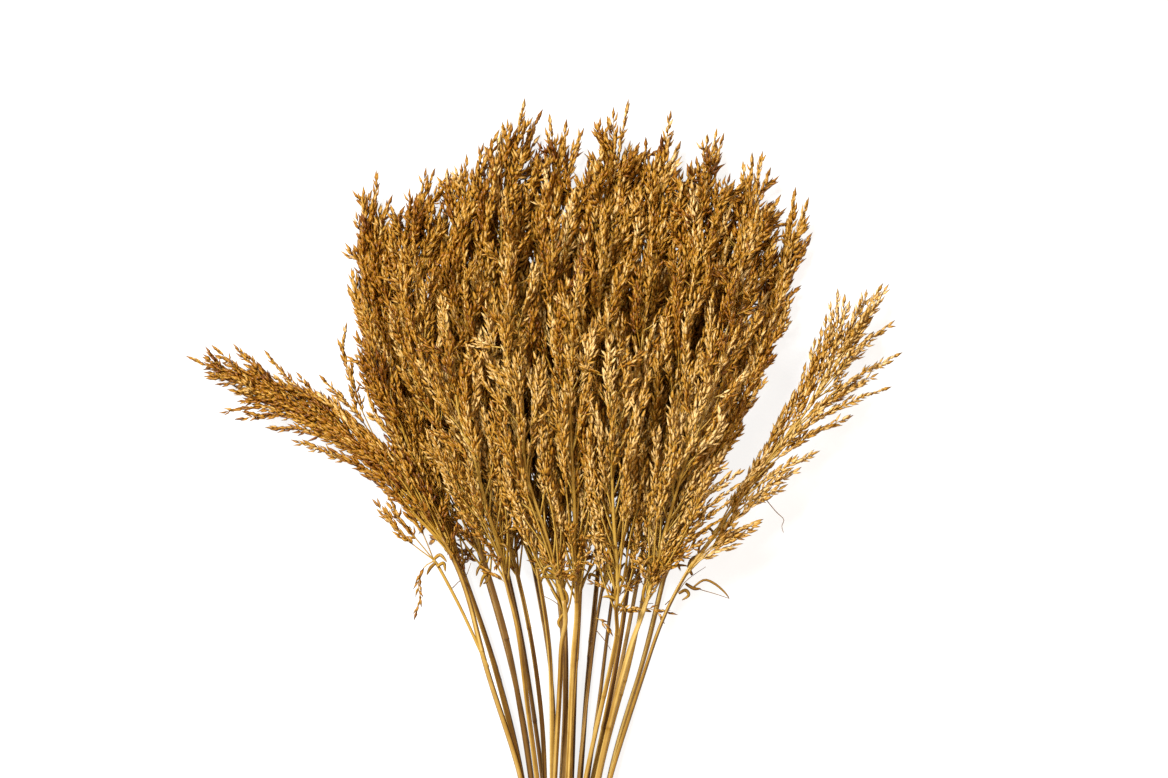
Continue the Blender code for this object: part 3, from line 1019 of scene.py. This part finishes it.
def attribute_value(nodes, title):
    node = nodes.new("ShaderNodeAttribute")
    node.attribute_type = "GEOMETRY"
    node.attribute_name = title
    return node.outputs["Fac"]


def math_value(tree, operation, first, second, clamp=False):
    node = tree.nodes.new("ShaderNodeMath")
    node.operation = operation
    node.use_clamp = clamp
    for socket, value in zip(node.inputs, (first, second)):
        if isinstance(value, (int, float)):
            socket.default_value = value
        else:
            tree.links.new(value, socket)
    return node.outputs[0]


def ramp_colour(tree, factor, stops):
    node = tree.nodes.new("ShaderNodeValToRGB")
    ramp = node.color_ramp
    while len(ramp.elements) < len(stops):
        ramp.elements.new(0.5)
    for element, (place, colour) in zip(ramp.elements, stops):
        element.position = place
        element.color = (*colour, 1.0)
    tree.links.new(factor, node.inputs["Fac"])
    return node.outputs["Color"]


def scaled_colour(tree, colour, factor):
    node = tree.nodes.new("ShaderNodeVectorMath")
    node.operation = "SCALE"
    tree.links.new(colour, node.inputs[0])
    tree.links.new(factor, node.inputs["Scale"])
    return node.outputs[0]


def noise_value(tree, scale, detail=2.0):
    place = tree.nodes.new("ShaderNodeTexCoord")
    noise = tree.nodes.new("ShaderNodeTexNoise")
    noise.inputs["Scale"].default_value = scale
    noise.inputs["Detail"].default_value = detail
    tree.links.new(place.outputs["Object"], noise.inputs["Vector"])
    return noise.outputs["Fac"]


def add_bump(tree, shader, height, distance, strength):
    bump = tree.nodes.new("ShaderNodeBump")
    bump.inputs["Distance"].default_value = distance
    bump.inputs["Strength"].default_value = strength
    tree.links.new(height, bump.inputs["Height"])
    tree.links.new(bump.outputs["Normal"], shader.inputs["Normal"])


def new_material(name, roughness, specular):
    material = bpy.data.materials.new(name)
    material.use_nodes = True
    shader = material.node_tree.nodes["Principled BSDF"]
    shader.inputs["Roughness"].default_value = roughness
    shader.inputs["Specular IOR Level"].default_value = specular
    return material, material.node_tree, shader


def husk_material():
    """Dry papery husk: its side edges painted darker as shade, which leaves it pale along its keel,
    and its joint darker, partly its own dark joint and partly painted shade.
    """
    material, tree, shader = new_material("golden_husk", 0.42, 0.32)
    tone = attribute_value(tree.nodes, "tone")
    along = attribute_value(tree.nodes, "along")
    edge = attribute_value(tree.nodes, "edge")
    mottle = noise_value(tree, 420.0)
    level = math_value(tree, "ADD", tone, math_value(tree, "MULTIPLY", mottle, HUSK_MOTTLE))
    # The edge values darken the side edges, and partly the joint, as painted shade
    level = math_value(tree, "SUBTRACT", level, math_value(tree, "MULTIPLY", edge, HUSK_DARK_ENDS_AND_PAINTED_SHADE))
    level = math_value(tree, "SUBTRACT", level, HUSK_OFFSET, clamp=True)
    colour = ramp_colour(tree, level, HUSK_COLOURS)
    # Darker joint, partly painted shade, and darker point along each husk
    shade = ramp_colour(tree, along, HUSK_SHADES)
    tree.links.new(scaled_colour(tree, colour, shade), shader.inputs["Base Color"])
    add_bump(tree, shader, noise_value(tree, 1500.0), 0.2 * MM, 0.4)
    return material


def stem_material(name, stops, streaks, offset):
    """Dry stem whose lengthwise streaks, with the painted shade on one side, move its colour by
    streaks, around the offset.
    """
    material, tree, shader = new_material(name, 0.42, 0.3)
    tone = attribute_value(tree.nodes, "tone")
    edge = attribute_value(tree.nodes, "edge")
    mottle = noise_value(tree, 110.0, 4.0)
    level = math_value(tree, "MULTIPLY", tone, STEM_TONE)
    level = math_value(tree, "ADD", level, math_value(tree, "MULTIPLY", edge, streaks))
    level = math_value(tree, "ADD", level, math_value(tree, "MULTIPLY", mottle, STEM_MOTTLE))
    level = math_value(tree, "SUBTRACT", level, offset, clamp=True)
    tree.links.new(ramp_colour(tree, level, stops), shader.inputs["Base Color"])
    add_bump(tree, shader, edge, 0.3 * MM, 0.35)
    return material


def make_materials():
    return {
        "husk": husk_material(),
        "twig": stem_material("golden_branch", BRANCH_COLOURS, streaks=0.4, offset=0.22),
        "golden": stem_material("golden_stem", GOLDEN_COLOURS, streaks=0.85, offset=0.47),
        "brown": stem_material("brown_stem", BROWN_COLOURS, streaks=0.85, offset=0.46),
    }


def stalk_route(stalk, number, column):
    """Control points of a stalk's centre line, from the cut end to the plume's tip."""
    layer = LAYERS[stalk.layer]
    gathered_x = column * GATHER_WIDTH
    cut_y = CUT_Y + CUT_STAGGER * math.sin(number * GOLDEN_ANGLE)
    return np.array([
        (GATHER_X + gathered_x * CUT_SPREAD, cut_y, layer.gathered * MM),
        (GATHER_X + gathered_x, GATHER_Y, layer.gathered * MM),
        (stalk.neck_x * MM, NECK_Y, layer.neck * MM),
        (stalk.base[0] * MM, stalk.base[1] * MM, layer.base * MM),
        (stalk.middle[0] * MM, stalk.middle[1] * MM, layer.middle * MM),
        (stalk.tip[0] * MM, stalk.tip[1] * MM, layer.tip * MM),
    ])


def stem_columns():
    """Place of every stem across the gathered end, in the order of the necks in its level."""
    levels = {}
    for number, stalk in enumerate(STALKS):
        levels.setdefault(LAYERS[stalk.layer].level, []).append(number)
    columns = {}
    for members in levels.values():
        members.sort(key=lambda number: STALKS[number].neck_x)
        for rank, number in enumerate(members):
            columns[number] = rank / (len(members) - 1) - 0.5
    return columns


def place_piece(name, parts, materials, node):
    """Puts a piece in the scene in place of its node, and tells how many triangles it has."""
    data = parts.mesh(name)
    piece = bpy.data.objects.new(name, data)
    for material in materials:
        data.materials.append(material)
    bpy.context.scene.collection.objects.link(piece)
    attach(piece, "root")
    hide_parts(node)
    return len(data.polygons)


def build_bunch():
    materials = make_materials()
    columns = stem_columns()
    triangles = []
    for index, stalk in enumerate(STALKS):
        number = index + 1
        route = stalk_route(stalk, index, columns[index])
        label = f"{number:02d}"
        triangles.append(place_piece(
            "sedge_stem_" + label, build_stem(route, number), [materials[stalk.colour]],
            "stem_" + label,
        ))
        triangles.append(place_piece(
            "sedge_plume_" + label, build_plume(stalk, route, number),
            [materials["husk"], materials["twig"]], "plume_" + label,
        ))
    print("triangles", sum(triangles), "largest piece", max(triangles))


def build_floor():
    bpy.ops.mesh.primitive_plane_add(size=FLOOR_SIZE)
    floor = bpy.context.object
    floor.name = "floor"
    material, _, shader = new_material("pale_floor", 0.9, 0.3)
    shader.inputs["Base Color"].default_value = (FLOOR_GREY, FLOOR_GREY, FLOOR_GREY, 1.0)
    shader.inputs["Emission Color"].default_value = (1.0, 1.0, 1.0, 1.0)
    shader.inputs["Emission Strength"].default_value = FLOOR_GLOW
    floor.data.materials.append(material)


def add_area_light(name, place, size, energy, colour=(1.0, 1.0, 1.0)):
    light = bpy.data.lights.new(name, "AREA")
    light.size = size
    light.energy = energy
    light.color = colour
    lamp = bpy.data.objects.new(name, light)
    lamp.location = place
    aim = Vector((CAMERA_X, CAMERA_Y, 0.0)) - Vector(place)
    lamp.rotation_euler = aim.to_track_quat("-Z", "Y").to_euler()
    bpy.context.scene.collection.objects.link(lamp)


def build_light():
    world = bpy.data.worlds.new("studio")
    world.use_nodes = True
    background = world.node_tree.nodes["Background"]
    background.inputs["Color"].default_value = (*WARM_WHITE, 1.0)
    background.inputs["Strength"].default_value = WORLD_STRENGTH
    bpy.context.scene.world = world
    add_area_light("key_light", KEY_PLACE, KEY_SIZE, KEY_POWER)
    add_area_light("fill_light", FILL_PLACE, FILL_SIZE, FILL_POWER, WARM_WHITE)


def build_camera():
    camera_data = bpy.data.cameras.new("camera")
    camera_data.sensor_width = SENSOR_WIDTH
    camera_data.lens = SENSOR_WIDTH * CAMERA_HEIGHT / (PHOTO_WIDTH * PHOTO_PIXEL)
    camera = bpy.data.objects.new("camera", camera_data)
    camera.location = (CAMERA_X, CAMERA_Y, CAMERA_HEIGHT)
    bpy.context.scene.collection.objects.link(camera)
    bpy.context.scene.camera = camera


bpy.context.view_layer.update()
build_camera()
build_bunch()
build_floor()
build_light()
bpy.context.scene.view_settings.view_transform = "Standard"
